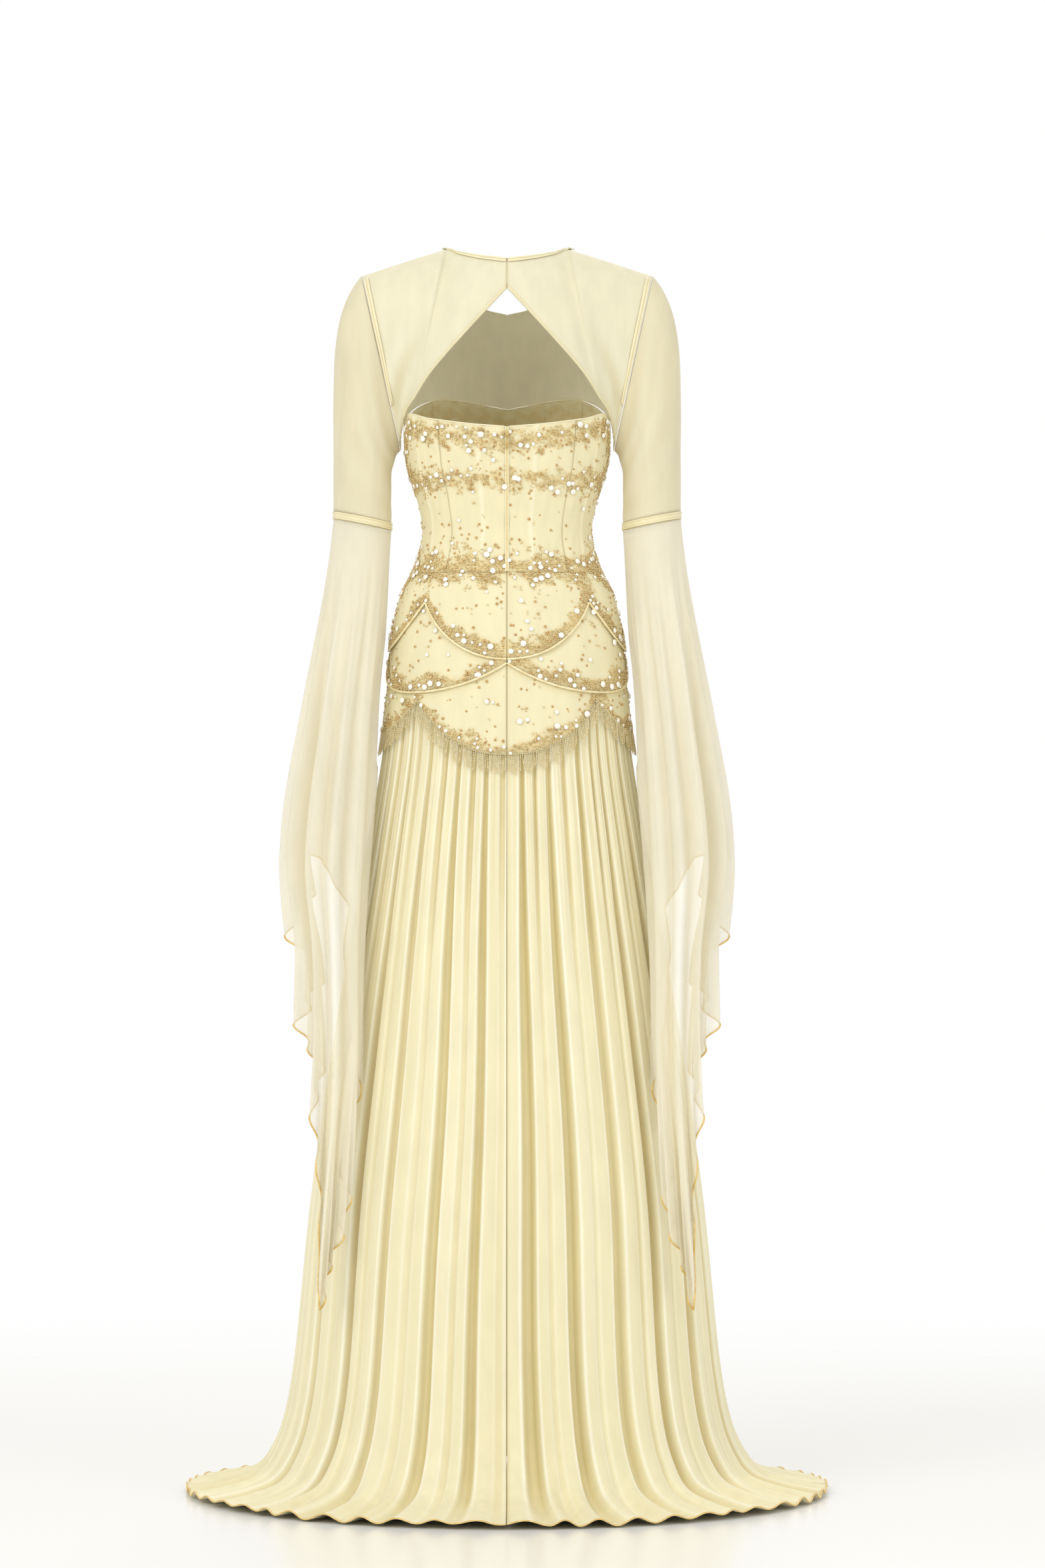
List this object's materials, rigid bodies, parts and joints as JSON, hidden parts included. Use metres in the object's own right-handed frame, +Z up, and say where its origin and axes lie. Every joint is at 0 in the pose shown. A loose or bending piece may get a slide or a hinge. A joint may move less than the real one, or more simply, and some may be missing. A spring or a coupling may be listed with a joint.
{
  "type": "pleated maxi dress",
  "caption": "Long-sleeved evening dress in its worn pose, hollow: keyhole back, boned bodice, scalloped hip tiers, flared sleeves and a pleated skirt with a short train.",
  "frame": {"origin": "midway between the shoulders, at the height where the yoke rests on them", "axes": "+Z up; the wearer faces +Y, so the zip is at -Y; +X is the wearer's right"},
  "size_m": [0.8258, 0.7617, 1.6021],
  "materials": {
    "pleated_chiffon": "matt, crinkled silk chiffon over a lining",
    "sheer_chiffon": "sheer, softly lustrous chiffon",
    "satin_binding": "satin",
    "gold_piping": "metallic thread",
    "bead_trim": "polished glass and pearl beads",
    "zip_metal": "polished"
  },
  "bodies": {
    "garment": {"bodice_back_left": "pleated_chiffon", "bodice_back_right": "pleated_chiffon", "bodice_side_back_left": "pleated_chiffon", "bodice_side_back_right": "pleated_chiffon", "bodice_side_front_left": "pleated_chiffon", "bodice_side_front_right": "pleated_chiffon", "bodice_centre_front": "pleated_chiffon", "tier1_back_left": "pleated_chiffon", "tier1_back_right": "pleated_chiffon", "tier1_front": "pleated_chiffon", "tier2_back_left": "pleated_chiffon", "tier2_back_right": "pleated_chiffon", "tier2_front": "pleated_chiffon", "tier3_back_left": "pleated_chiffon", "tier3_back_right": "pleated_chiffon", "tier3_front": "pleated_chiffon", "tier1_piping_back_left": "gold_piping", "tier1_piping_back_right": "gold_piping", "tier1_piping_front": "gold_piping", "tier2_piping_back_left": "gold_piping", "tier2_piping_back_right": "gold_piping", "tier2_piping_front": "gold_piping", "fringe_back_left": "bead_trim", "fringe_back_right": "bead_trim", "fringe_front": "bead_trim", "skirt_back_left": "pleated_chiffon", "skirt_back_right": "pleated_chiffon", "skirt_front": "pleated_chiffon", "yoke_back_left": "sheer_chiffon", "yoke_back_right": "sheer_chiffon", "yoke_front": "sheer_chiffon", "keyhole_binding_left": "satin_binding", "keyhole_binding_right": "satin_binding", "armhole_binding_left": "satin_binding", "armhole_binding_right": "satin_binding", "neck_binding": "satin_binding", "upper_sleeve_left": "sheer_chiffon", "upper_sleeve_right": "sheer_chiffon", "elbow_band_left": "bead_trim", "elbow_band_right": "bead_trim", "lower_sleeve_left": "sheer_chiffon", "lower_sleeve_right": "sheer_chiffon", "zip_tape": "satin_binding", "zip_slider": "zip_metal"},
    "pull": {"zip_pull": "zip_metal"}
  },
  "joints": [
    {"name": "zip_pull_hinge", "type": "hinge", "parent": "garment", "child": "pull", "pos_m": [0, -0.09946, -0.204], "axis": [-1, 0, 0], "range_deg": [0, 150]}
  ]
}
